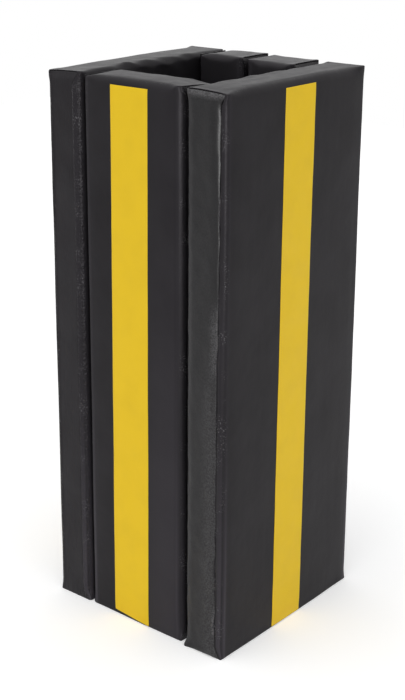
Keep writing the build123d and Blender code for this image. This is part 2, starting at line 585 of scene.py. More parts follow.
COVER_VINYL = {
    Seam.EVEN: BlackVinyl("black_vinyl_cover", pucker=Seam.EVEN.value),
    # The paler deep and worn tones of the rear pads are painted light that lifts their shaded inner faces
    # and tops.
    Seam.GATHERED: BlackVinyl(
        "black_vinyl_cover_gathered_painted_light", deep=(0.0185, 0.0172, 0.0192), worn=(0.0250, 0.0232, 0.0258),
        gloss=(0.37, 0.43), specular=0.135, pucker=Seam.GATHERED.value,
    ),
    Seam.PUCKERED: BlackVinyl(
        "black_vinyl_cover_puckered", gloss=(0.35, 0.41), specular=0.112, pucker=Seam.PUCKERED.value,
    ),
}
END_VINYL = {
    seam: BlackVinyl(
        f"black_vinyl_end_{seam.name.lower()}", dimples=0.0005, gloss=(0.25, 0.31), specular=0.167,
        pucker=seam.value,
    )
    for seam in Seam
}
HINGE_VINYL = BlackVinyl("black_vinyl_hinge", gloss=(0.45, 0.60), specular=0.10)
STRIPE_FILM = YellowFilm("yellow_stripe_film")
LOOP_PILE = NappedPile("loop_pile")
HOOK_PILE = NappedPile("hook_pile", tuft=900.0, relief=0.0008)
FOAM = OpenCellFoam("open_cell_foam")


def settle(piece: bpy.types.Object, body: str, slot: Slot, *nodes: str) -> None:
    """Puts a piece on its body in the place of its nodes, and reports it.

    Args:
        piece: The finished piece.
        body: Body that it rides on.
        slot: Record slot of its finish; not used.
        *nodes: Nodes that it stands for.
    """
    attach(piece, body)
    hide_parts(*nodes)
    LOG.info("%s rides on %s, %d faces", piece.name, body, len(piece.data.polygons))


@dataclass(frozen=True)
class PadFrame:
    """A pad's own directions: u along it, left to right from outside, v out of the column face, w up."""

    origin: Triple
    along: Triple
    outward: Triple
    length: float
    thickness: float
    height: float

    @classmethod
    def of(cls, name: PadName, outward: Sequence[float]) -> "PadFrame":
        """Frame of a pad, read from its cover's node.

        Args:
            name: The pad.
            outward: Unit vector out of its column face.

        Returns:
            The frame, with its origin on the floor where the column face starts.
        """
        low, high = (np.array(corner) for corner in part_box(f"{name.value}_cover"))
        out = np.array(outward, float)
        along = np.cross(UP, out)
        origin = np.where(out + along + UP > 0, low, high)
        size = high - low
        return cls(tuple(origin), tuple(along), tuple(out), abs(size @ along), abs(size @ out), size[2])

    def world(self, points: Array) -> Array:
        """Frame points (..., 3) of u, v, w as places in the scene."""
        axes = np.stack([np.array(self.along), np.array(self.outward), UP])
        return np.array(self.origin) + points @ axes


@dataclass(frozen=True)
class EndShape:
    """Form of a pad's end. Pairs are for the column and the outer side; heights and rises are ranges."""

    rim: Pair = (0.0065, 0.0065)
    rim_taper: float = 0.0
    taper_heights: Pair = (0.4, 0.8)
    rim_narrowing: float = 0.5
    corner: Pair = (0.0065, 0.0065)
    point: Pair = (0.8, 0.8)
    base_point: Pair = (0.9, 0.9)
    point_reach: float = 0.022
    pinch: Pair = (0.0, 0.0)
    pinch_reach: float = 0.050
    bow: Pair = (0.0, 0.0)
    bow_reach: float = 0.28
    bow_foot: float = 0.060
    bow_base: float = 0.4
    roll: Pair = (0.0075, 0.0075)
    droop: Pair = (0.0, 0.0)
    droop_reach: float = 0.028
    droop_depth: float = 0.030
    dish: Pair = (0.0, 0.0)
    dish_rise: Pair = (0.004, 0.030)
    lip: float = 0.0010
    groove: float = 0.0003
    groove_depth: float = 0.0030
    groove_fade: float = 0.0
    fade_heights: Pair = (0.80, 0.95)
    groove_rise: Pair = (0.002, 0.014)
    top_depth: float = 0.0007
    draw_top: float = 0.0028
    draw_base: float = 0.0008
    draw_reach: float = 0.0130
    draw_fade: float = 0.024
    draw_squareness: int = 6
    proud: float = 0.0024
    rise: float = 0.0010
    wear: Pair = (1.0, 1.0)
    # Share of the painted highlight bands at this end.
    painted_highlight: float = 1.0
    # Weight of the painted light towards this end, paler near it and low down.
    painted_end_light: float = 0.0
    bed: float = 0.0022

    def drawn(self, across: Array, w: Array, height: float) -> Array:
        """How far the end is drawn back at a place on it.

        Args:
            across: Place across the thickness, from 0 to 1.
            w: Height on the end.
            height: Height of the end's top.

        Returns:
            Distance inwards: more at the bowed sides, and less at the pointed corners.
        """
        across = np.clip(across, 0.0, 1.0)
        hump = 1.0 - np.abs(2.0 * across - 1.0) ** self.draw_squareness
        top = self.draw_top * fade(height - w, 0.0, self.draw_reach)
        base = self.draw_base * fade(w, 0.0, self.draw_reach)
        inner = self.bow[0] * np.clip(1.0 - across / self.bow_reach, 0.0, 1.0) ** 2
        outer = self.bow[1] * np.clip(1.0 - (1.0 - across) / self.bow_reach, 0.0, 1.0) ** 2
        kept = self.bow_base + (1.0 - self.bow_base) * smooth(w, 0.0, self.bow_foot)
        return hump * (top + base) + (inner + outer) * kept

    def sag(self, across: Array, w: Array, height: float) -> Array:
        """How far the top falls towards its two corners.

        Args:
            across: Places across the thickness, from 0 to 1.
            w: Heights.
            height: Height of the end's top.

        Returns:
            Distances downwards.
        """
        across = np.clip(across, 0.0, 1.0)
        fall = self.droop[0] * (1.0 - across) ** 2 + self.droop[1] * across ** 2
        return fall * smooth(w, height - self.droop_depth, height)

    def dished(self, outer: Array, w: Array, height: float) -> Array:
        """How far the rim slopes down to its seam on each side, fading out at the top and the base."""
        slope = sided(outer, self.dish) * self.groove_at(w, height)
        return slope * smooth(np.minimum(w, height - w), *self.dish_rise)

    def groove_at(self, w: Array, height: float) -> Array:
        """Depth of the groove along the seam, shallow at both ends, and less low down if it fades.

        Args:
            w: Heights.
            height: Height of the end's top.

        Returns:
            One depth for each height.
        """
        lower, upper = self.fade_heights
        deep = self.groove_depth * (1.0 - self.groove_fade * fade(w, lower * height, upper * height))
        depth = np.minimum(self.top_depth, deep)
        return depth + (deep - depth) * smooth(np.minimum(w, height - w), *self.groove_rise)

    def near_point(self, away: Array) -> Array:
        """1 at the top or the base, 0 at the height where an upright corner has its full rounding."""
        return fade(away, 0.0, self.point_reach)

    def inset(self, outer: Array, away: Array, w: Array, height: float) -> Array:
        """How far the rounding of an upright corner takes the side in.

        Args:
            outer: Whether a place is on the outer side.
            away: Distance from the end.
            w: Height.
            height: Height of the end's top.

        Returns:
            Distance towards the middle of the thickness.
        """
        radius = sided(outer, self.corner)
        sharp = sided(outer, self.point) * self.near_point(height - w)
        sharp = sharp + sided(outer, self.base_point) * self.near_point(w)
        turn = np.clip(radius - away, 0.0, radius)
        pinched = sided(outer, self.pinch) * fade(away, 0.0, self.pinch_reach)
        return (radius - np.sqrt(radius ** 2 - turn ** 2) + pinched) * (1.0 - sharp)

    def rims(self, w: Array, height: float) -> tuple[Array, Array]:
        """Width of the rim on both sides.

        Args:
            w: Heights.
            height: Height of the end's top.

        Returns:
            Widths on the column side and on the outer side.
        """
        lower, upper = self.taper_heights
        narrow = 1.0 - self.rim_narrowing * self.near_point(np.minimum(w, height - w))
        outer = self.rim[1] - self.rim_taper * smooth(w, lower * height, upper * height)
        return self.rim[0] * narrow, outer * narrow


class EndForm(Enum):
    """The forms that the pads' ends have."""

    PROUD = EndShape()
    FLUSH = EndShape(proud=0.0)
    FOLDED = EndShape(point=(0.4, 0.8), base_point=(0.1, 0.9))
    TAPERED = EndShape(proud=0.0, point=(0.8, 1.0))
    HINGED = EndShape(
        rim=(0.0190, 0.0065), corner=(0.0130, 0.0065), pinch=(0.0045, 0.0), point=(0.5, 0.8),
        base_point=(0.75, 0.9), droop=(0.0, 0.0034), groove_depth=0.0001, proud=0.0001, roll=(0.024, 0.004),
        wear=(0.0, 1.0),
    )
    TAPED = EndShape(
        rim=(0.0065, 0.0155), rim_taper=0.0030, corner=(0.0065, 0.0100), point=(0.8, 0.9),
        roll=(0.0075, 0.0180), droop=(0.0, 0.0036), groove_depth=0.0085, groove_fade=0.92, top_depth=0.0004,
        dish=(0.0, 0.70),
    )
    TUCKED = EndShape(
        proud=0.0, corner=(0.0120, 0.0085), point=(0.1, 0.1), base_point=(0.9, 0.6), rise=-0.0030,
    )
    ROUNDED = EndShape(
        rim=(0.0065, 0.0095), proud=0.0, corner=(0.0120, 0.0120), point=(0.1, 0.1), base_point=(0.9, 0.4),
        rise=-0.0030,
    )
    # The closing end carries half the painted highlight bands and the painted light towards it.
    CLOSING = EndShape(
        rim=(0.0115, 0.0145), corner=(0.0100, 0.0130), point=(0.0, 0.3), bow=(0.0, 0.0065), bow_reach=0.60,
        groove_depth=0.0008, proud=0.0, rise=0.0, droop=(0.0045, 0.0), droop_reach=0.050, painted_highlight=0.5,
        painted_end_light=1.0,
    )


@dataclass(frozen=True)
class WearAndPaintedLight:
    """Where vinyl is rubbed, and where highlight bands and light towards an end are painted: distances from
    an end, depths on its rim, heights.
    """

    rub_away: Pair = (0.003, 0.011)
    rub_depth: Pair = (0.006, 0.014)
    # Painted highlight bands: one near the upright corner and one along the fold, stronger low down.
    highlight_place: float = 0.0075
    highlight_width: float = 0.0030
    fold_place: float = 0.0008
    fold_width: float = 0.0012
    highlight_heights: Pair = (0.08, 0.38)
    highlight_shares: Pair = (1.0, 0.25)
    # Painted light towards the closing end: the face paler near the end, most low down.
    end_light_heights: Pair = (0.20, 0.75)
    end_light_shares: Pair = (0.48, 0.12)
    end_light_reach: float = 0.090
    end_light_edge: Pair = (0.002, 0.020)

    def rubbed(self, away: Array, depth: Array) -> Array:
        """Weight of the rubbing along an upright corner, at distances from the end and depths on its rim."""
        return fade(away, *self.rub_away) * fade(depth, *self.rub_depth)

    def painted_highlight(self, along: Array, depth: Array, w: Array) -> Array:
        """Weight of the painted highlight bands over an upright corner and along its fold, strongest low
        down.

        Args:
            along: Nominal distances from the end.
            depth: Depths on its rim.
            w: Heights.

        Returns:
            One weight for each place.
        """
        band = np.exp(-((along - self.highlight_place) / self.highlight_width) ** 2)
        beside = ((along - self.fold_place) / self.fold_width) ** 2
        fold = np.exp(-beside - (depth / self.fold_width) ** 2)
        return (band + fold) * np.interp(w, self.highlight_heights, self.highlight_shares)

    def painted_end_light(self, away: Array, w: Array) -> Array:
        """Weight of the painted light towards an end, paler low down.

        Args:
            away: Distances from the end.
            w: Heights.

        Returns:
            One weight for each place.
        """
        low, high = self.end_light_shares
        share = low + (high - low) * smooth(w, *self.end_light_heights)
        return share * np.exp(-(away / self.end_light_reach) ** 2) * smooth(away, *self.end_light_edge)


@dataclass(frozen=True)
class Waviness:
    """How uneven a filled cover lies: lengths and heights of its waves, and where they reach."""

    long_wave: float = 0.160
    short_wave: float = 0.050
    short_share: float = 0.4
    streak: float = 0.020
    streak_pull: Triple = (0.12, 1.0, 1.0)
    crease: float = 0.030
    face_height: float = 0.00030
    top_height: float = 0.00045
    streak_height: float = 0.00016
    crease_height: float = 0.00055
    outer_part: Pair = (0.6, 0.9)
    top_reach: float = 0.030
    crease_reach: Pair = (0.004, 0.026)
    sewn_reach: float = 0.020
    rumple_start: Pair = (0.078, 0.100)


@dataclass(frozen=True)
class Filling:
    """Pressure of the foam under a cover, as a short cloth simulation held within a small travel."""

    travel: float = 0.0007
    pressure: float = 4.0
    mass: float = 0.25
    tension: float = 40.0
    shear: float = 20.0
    bending: float = 6.0
    quality: int = 3
    frames: int = 20

    def swell(self, skin: bpy.types.Object, seams: Array) -> None:
        """Swells a cover's free faces.

        Args:
            skin: The cover.
            seams: Numbers of the points that stay where they are sewn or pressed.
        """
        scene = bpy.context.scene
        mesh = skin.data
        rest = np.empty(len(mesh.vertices) * 3)
        mesh.vertices.foreach_get("co", rest)
        skin.vertex_groups.new(name="seams").add(seams.tolist(), 1.0, "REPLACE")
        cloth = skin.modifiers.new("filling", "CLOTH")
        cloth.settings.vertex_group_mass = "seams"
        cloth.settings.quality = self.quality
        cloth.settings.mass = self.mass
        cloth.settings.tension_stiffness = self.tension
        cloth.settings.compression_stiffness = self.tension
        cloth.settings.shear_stiffness = self.shear
        cloth.settings.bending_stiffness = self.bending
        cloth.settings.use_pressure = True
        cloth.settings.uniform_pressure_force = self.pressure
        cloth.settings.effector_weights.gravity = 0.0
        cloth.collision_settings.use_collision = False
        cloth.point_cache.frame_start = 1
        cloth.point_cache.frame_end = self.frames
        for moment in range(1, self.frames + 1):
            scene.frame_set(moment)
        swollen = skin.evaluated_get(bpy.context.evaluated_depsgraph_get()).data
        moved = np.empty_like(rest)
        swollen.vertices.foreach_get("co", moved)
        skin.modifiers.remove(cloth)
        skin.vertex_groups.clear()
        scene.frame_set(1)
        travel = (moved - rest).reshape(-1, 3)
        far = np.linalg.norm(travel, axis=1, keepdims=True)
        swell, limit = far.max() * 1000, self.travel * 1000
        LOG.info("%s swells by up to %.1f mm, kept to %.1f mm", skin.name, swell, limit)
        held = self.travel * np.tanh(far / self.travel) / np.maximum(far, TINY)
        mesh.vertices.foreach_set("co", (rest.reshape(-1, 3) + travel * held).ravel())
        mesh.update()


@dataclass
class Cover:
    """Vinyl cover: a padded sleeve with rolled edges, pointed corners and a rim round each end."""

    name: PadName
    frame: PadFrame
    ends: tuple[EndShape, EndShape]
    seam: Seam = Seam.EVEN
    thinner: float = 0.0008
    outer_roll: float = 0.0110
    inner_roll: float = 0.0100
    base_roll: float = 0.0022
    tip_roll: float = 0.0016
    lower: float = 0.0
    rumple: float = 0.0
    ear_reach: float = 0.028
    face_crown: float = 0.0010
    top_crown: float = 0.0010
    arc_steps: int = 6
    base_steps: int = 3
    fine: float = 0.0012
    coarse: float = 0.0105
    face_fine: float = 2.5
    top_fine: float = 2.0
    top_coarse: float = 0.8
    rim_shares: tuple = (0.3, 0.65, 0.9, 1.0)
    free_outside: float = 0.5
    free_above: float = 0.3
    sewn_margin: float = 0.012
    wear: WearAndPaintedLight = WearAndPaintedLight()
    waviness: Waviness = Waviness()
    filling: Filling = Filling()
    skin: Optional[bpy.types.Object] = field(default=None, init=False)

    def end_top(self) -> float:
        """Height of the top at the two ends."""
        return self.frame.height - self.top_crown - self.lower

    def end_near(self, u: float) -> End:
        """The end that a place along the pad is nearer to."""
        return End.START if u < self.frame.length / 2 else End.FINISH

    def ring(self, u: float) -> Array:
        """Section across the pad, from the foot of the column face up and over to the base.

        Args:
            u: Place along the pad.

        Returns:
            Points (n, 2) of v and w, as many at every place.
        """
        end = self.ends[self.end_near(u).value]
        ear = fade(min(u, self.frame.length - u), 0.0, self.ear_reach)
        bow = 1.0 - (2.0 * u / self.frame.length - 1.0) ** 2
        top = self.end_top() + self.top_crown * bow + end.rise * ear ** 2
        outer = self.frame.thickness - self.thinner - self.face_crown * (1.0 - bow)
        rolls = (self.outer_roll, self.inner_roll, self.base_roll)
        roll, near, foot = (size + (self.tip_roll - size) * ear for size in rolls)
        height, thickness = self.frame.height, self.frame.thickness
        up = graded(height, self.fine * self.face_fine, self.coarse) / height
        over = graded(thickness, self.fine * self.top_fine, self.coarse * self.top_coarse) / thickness
        arcs = np.linspace(0.0, math.pi / 2, self.arc_steps + 1)[1:-1]
        feet = np.linspace(0.0, math.pi / 2, self.base_steps + 1)[1:-1]
        back = foot + up * (top - near - foot)
        face = foot + up * (top - roll - foot)
        cross = near + over * (outer - near - roll)
        under = foot + over * (outer - 2 * foot)
        parts = [
            (np.zeros_like(back), back),
            (near - near * np.cos(arcs), top - near + near * np.sin(arcs)),
            (cross, np.full_like(cross, top)),
            (outer - roll + roll * np.sin(arcs), top - roll + roll * np.cos(arcs)),
            (np.full_like(face, outer), face[::-1]),
            (outer - foot + foot * np.cos(feet), foot - foot * np.sin(feet)),
            (under[::-1], np.zeros_like(under)),
            (foot - foot * np.sin(feet), foot - foot * np.cos(feet)),
        ]
        return np.concatenate([np.stack(part, -1) for part in parts])

    def shaped(self, u: float) -> Array:
        """The section at a place along the pad, its upright corners rounded and its end drawn back.

        Args:
            u: Place along the pad.

        Returns:
            Frame points (n, 3).
        """
        v, w = self.ring(u).T
        end = self.end_near(u)
        shape = self.ends[end.value]
        away = min(u, self.frame.length - u)
        thickness, top = self.frame.thickness, self.end_top()
        middle = thickness / 2
        inset = shape.inset(v > middle, away, w, top)
        v = middle + (v - middle) * (1.0 - inset / middle)
        drawn = fade(away, 0.0, shape.draw_fade) * shape.drawn(v / thickness, w, top)
        near = fade(away, 0.0, shape.droop_reach)
        fallen = w - near ** 2 * shape.sag(v / thickness, w, top)
        return np.stack([u + end.inward * drawn, v, fallen], -1)

    def rim_rings(self, ring: Array, end: End) -> list[Array]:
        """Rings of the rim on one end, then of the groove inside it.

        Args:
            ring: Section at that end, as frame points (n, 3).
            end: Which end.

        Returns:
            Rings of frame points, from the corner inwards.
        """
        shape = self.ends[end.value]
        middle = self.frame.thickness / 2
        top = self.end_top()
        outer = ring[:, 1] > middle
        half = middle - shape.inset(outer, 0.0, ring[:, 2], top)
        sides = np.clip((ring[:, 1] - middle) / half, -1.0, 1.0)
        goal = ring.copy()
        goal[:, 1] = middle + sides * (middle - sided(outer, shape.rims(ring[:, 2], top)))
        goal[:, 2] = shape.lip + (ring[:, 2] / top) * (top - 2 * shape.lip)
        goal[:, 0] += end.inward * shape.dished(outer, ring[:, 2], top)
        rings = []
        for share in self.rim_shares:
            step = (goal - ring) * share
            step[:, 0] *= share
            rings.append(ring + step)
        floor = goal.copy()
        floor[:, 1] = middle + (goal[:, 1] - middle) * (1.0 - shape.groove / middle)
        floor[:, 0] = ring[:, 0] + end.inward * (shape.groove_at(goal[:, 2], top) + shape.bed)
        return [*rings, floor]

    def build(self) -> None:
        """Closed mesh of the cover, swollen by its filling."""
        length = self.frame.length
        places = graded(length, self.fine, self.coarse)
        rings = [self.shaped(u) for u in places]
        start = self.rim_rings(rings[0], End.START)
        finish = self.rim_rings(rings[-1], End.FINISH)
        stack = np.array([*start[::-1], *rings, *finish])
        count = stack.shape[1]
        sleeve = slice(len(start), len(start) + len(rings))
        along = np.zeros(len(stack))
        along[sleeve] = np.minimum(places, length - places)
        depth = np.zeros(stack.shape[:2])
        depth[:sleeve.start] = np.abs(stack[:sleeve.start, :, 1] - rings[0][:, 1])
        depth[sleeve.stop:] = np.abs(stack[sleeve.stop:, :, 1] - rings[-1][:, 1])
        index = np.arange(stack.shape[0] * count).reshape(-1, count)
        follow = np.roll(index, -1, axis=1)
        quads = np.stack([index[:-1], index[1:], follow[1:], follow[:-1]], -1).reshape(-1, 4)
        faces = [*quads.tolist(), index[0].tolist(), index[-1][::-1].tolist()]
        points = stack.reshape(-1, 3)
        weights = self.worn(points, np.repeat(along, count), depth.ravel())
        sewn = self.ruffle(points)
        shell = Shell(self.frame.world(points), faces, *weights)
        self.skin = shell.make(f"{self.name.value}_cover_skin", COVER_VINYL[self.seam].material())
        on_rim = np.ones(len(faces), dtype=np.int32)
        on_rim[sleeve.start * count:(sleeve.stop - 1) * count] = 0
        self.skin.data.materials.append(END_VINYL[self.seam].material())
        self.skin.data.polygons.foreach_set("material_index", on_rim)
        self.filling.swell(self.skin, sewn)
        settle(self.skin, self.name.body, Slot.BLACK_VINYL, f"{self.name.value}_cover")

    def worn(self, points: Array, along: Array, depth: Array) -> tuple[Array, Array]:
        """Weights of the rubbed edges and of the painted highlight bands and painted light towards the
        closing end.

        Args:
            points: Frame points (n, 3).
            along: Nominal distances from the nearer end.
            depth: Depths on its rim.

        Returns:
            The two weights of each point.
        """
        u, _, w = points.T
        length = self.frame.length
        first, last = self.ends
        rubbed = self.wear.rubbed(np.minimum(u, length - u), depth)
        painted_sheen = self.wear.painted_highlight(along, depth, w)
        painted_sheen *= np.where(u < length / 2, first.painted_highlight, last.painted_highlight)
        # The second weight is the painted highlight bands plus the painted light towards the closing end.
        return rubbed, painted_sheen + last.painted_end_light * self.wear.painted_end_light(length - u, w)

    def ruffle(self, points: Array) -> Array:
        """Lays the cover unevenly, in place.

        Args:
            points: Frame points (n, 3), which are moved.

        Returns:
            Numbers of the points that stay where they are sewn or pressed.
        """
        form = self.waviness
        seed = self.name.seed
        top = self.end_top()
        lower, upper = form.outer_part
        away = np.minimum(points[:, 0], self.frame.length - points[:, 0])
        wavy = Ripple(seed, form.long_wave).at(points)
        wavy += form.short_share * Ripple(seed + 1, form.short_wave).at(points)
        lengthwise = Ripple(seed + 2, form.streak).at(points * form.streak_pull)
        creased = Ripple(seed + 3, form.crease).at(points)
        creased *= fade(points[:, 1], *form.crease_reach)
        outside = smooth(points[:, 1], self.frame.thickness * lower, self.frame.thickness * upper)
        above = smooth(points[:, 2], top - form.top_reach, top)
        rumpled = self.rumple * creased * above * smooth(away, *form.rumple_start)
        lift = form.top_height * wavy + form.streak_height * lengthwise + form.crease_height * creased
        points[:, 1] += form.face_height * wavy * outside + rumpled
        points[:, 2] += lift * above * smooth(away, 0.0, form.sewn_reach) + rumpled
        free = (outside > self.free_outside) | (above > self.free_above)
        free &= (away > self.sewn_margin) & (points[:, 2] > self.sewn_margin)
        return np.flatnonzero(~free)


@dataclass
class EndPanel:
    """Vinyl panel sewn into one end of a pad, a little proud of the rim or flush with it."""

    cover: Cover
    end: End
    node: str
    sheet: float = 0.0012
    top_reach: float = 0.0120
    base_reach: float = 0.0080
    base_share: float = 0.6
    edge_turn: float = 0.0012
    wave: float = 0.0004
    wavelength: float = 0.07
    rub_reach: Pair = (0.0035, 0.0075)
    row_steps: Pair = (0.0012, 0.0105)
    column_steps: Pair = (0.02, 0.10)
    first_seed: int = 5

    @property
    def shape(self) -> EndShape:
        """Form of the end that the panel fills."""
        return self.cover.ends[self.end.value]

    def depth(self, v: Array, w: Array) -> Array:
        """Distance of the panel's face behind the end plane, less than 0 where it stands proud.

        Args:
            v: Places across the thickness.
            w: Heights.

        Returns:
            One depth for each place.
        """
        shape = self.shape
        low, high = self.across(w)
        top = self.cover.end_top() - shape.lip
        ends = np.minimum(top - w, w - shape.lip)
        sides = np.minimum((v - low) / shape.roll[0], (high - v) / shape.roll[1])
        shoulder = np.clip(sides, 0.0, 1.0)
        lift = np.sqrt(1.0 - (1.0 - shoulder) ** 2) * np.sqrt(np.clip(ends / self.edge_turn, 0.0, 1.0))
        fall = np.clip(1.0 - (top - w) / self.top_reach, 0.0, 1.0) ** 2
        rise = np.clip(1.0 - (w - shape.lip) / self.base_reach, 0.0, 1.0) ** 2
        bulge = shape.proud * (1.0 - fall - self.base_share * rise)
        drawn = shape.drawn(v / self.cover.frame.thickness, w, self.cover.end_top())
        points = np.stack([v, w, np.zeros_like(v)], -1).reshape(-1, 3)
        seed = self.cover.name.seed + self.first_seed + self.end.value
        wavy = Ripple(seed, self.wavelength).at(points).reshape(v.shape)
        groove = shape.groove_at(w, self.cover.end_top())
        return drawn + groove * (1.0 - lift) - (bulge + self.wave * wavy * (1.0 - fall)) * lift

    def across(self, w: Array) -> tuple[Array, Array]:
        """Lowest and highest v of the panel at some heights."""
        inner, outer = self.shape.rims(w, self.cover.end_top())
        return inner + self.shape.groove, self.cover.frame.thickness - outer - self.shape.groove

    def build(self) -> None:
        """Thin closed panel with its borders turned down into the seam."""
        pad = self.cover.frame
        lip = self.shape.lip
        rows = lip + graded(self.cover.end_top() - 2 * lip, *self.row_steps)
        share = graded(1.0, *self.column_steps)
        w = np.repeat(rows[:, None], len(share), axis=1)
        low, high = self.across(w)
        v = low + (high - low) * share[None, :]
        depth = self.depth(v, w)
        base = 0.0 if self.end is End.START else pad.length
        fallen = w - self.shape.sag(v / pad.thickness, w, self.cover.end_top())
        front, back = (
            pad.world(np.stack([base + self.end.inward * behind, v, fallen], -1))
            for behind in (depth, depth + self.sheet)
        )
        wear = np.where(v - low < high - v, *self.shape.wear)
        edge = wear * fade(np.minimum(v - low, high - v), *self.rub_reach)
        shell = Shell.slab(front, back, edge)
        piece = shell.make(f"{self.node}_skin", END_VINYL[self.cover.seam].material())
        settle(piece, self.cover.name.body, Slot.BLACK_VINYL, self.node)


@dataclass
class FoamCore:
    """Foam slab inside a cover, with eased edges."""

    name: PadName
    frame: PadFrame
    ease: float = 0.0045
    headroom: float = 0.003
    roll: float = 0.010
    steps: int = 12
    crowding: float = 1.6

    def build(self) -> None:
        """Closed slab with rounded edges all round."""
        size = np.array([self.frame.length, self.frame.thickness, self.frame.height - self.headroom])
        half = size / 2 - self.ease
        work = bmesh.new()
        bmesh.ops.create_cube(work, size=2.0)
        bmesh.ops.subdivide_edges(work, edges=work.edges, cuts=self.steps, use_grid_fill=True)
        points = np.array([vertex.co for vertex in work.verts])
        faces = [[vertex.index for vertex in face.verts] for face in work.faces]
        work.free()
        spread = np.sign(points) * (1.0 - (1.0 - np.abs(points)) ** self.crowding)
        core = np.clip(spread * half, -(half - self.roll), half - self.roll)
        out = spread * half - core
        reach = np.linalg.norm(out, axis=1, keepdims=True)
        rounded = core + out / np.maximum(reach, TINY) * np.minimum(reach, self.roll)
        shell = Shell(self.frame.world(rounded + size / 2), faces)
        piece = shell.make(f"{self.name.value}_foam_core", FOAM.material())
        settle(piece, self.name.body, Slot.FOAM, f"{self.name.value}_foam")


@dataclass
class Stripe:
    """Yellow film bonded down the outer face of a pad, following its swell."""

    cover: Cover
    width: float
    top: float
    foot: float
    offset: float = 0.0
    lean: float = 0.0
    slant: float = 0.0
    film: float = 0.0004
    step: float = 0.008
    row_fine: float = 0.0012
    column_fine: float = 0.0015
    clearance: float = 0.05

    def build(self) -> None:
        """Thin closed film laid on the cover."""
        pad = self.cover.frame
        mesh = self.cover.skin.data
        tree = BVHTree.FromPolygons([v.co for v in mesh.vertices], [p.vertices for p in mesh.polygons])
        inward = -Vector(pad.outward)
        rows = self.foot + graded(self.top - self.foot, self.row_fine, self.step)
        columns = graded(self.width, self.column_fine, self.step) - self.width / 2
        grid = np.zeros((len(rows), len(columns), 3))
        normals = np.zeros_like(grid)
        for i, w in enumerate(rows):
            fall = 0.5 - (w - self.foot) / (self.top - self.foot)
            middle = pad.length / 2 + self.offset + self.lean * fall
            for j, across in enumerate(columns):
                low = w - self.slant * across / self.width * (0.5 + fall)
                above = pad.world(np.array([middle + across, pad.thickness + self.clearance, low]))
                grid[i, j], normals[i, j], _, _ = tree.ray_cast(Vector(above), inward)
        shell = Shell.slab(grid + normals * self.film, grid - normals * self.film)
        piece = shell.make(f"{self.cover.name.value}_stripe_film", STRIPE_FILM.material())
        settle(piece, self.cover.name.body, Slot.YELLOW_VINYL, f"{self.cover.name.value}_stripe")


@dataclass(frozen=True)
class PaleStretch:
    """A paler stretch of pile, for a scuff or for a painted sheen band: its weight, its reach from the
    tape's outer edge, and the heights it spans.
    """

    weight: float
    reach: Pair
    rise: Pair
    fall: Pair

    def at(self, beside: Array, w: Array) -> Array:
        """Weights at distances from the outer edge and heights."""
        return self.weight * fade(beside, *self.reach) * smooth(w, *self.rise) * fade(w, *self.fall)


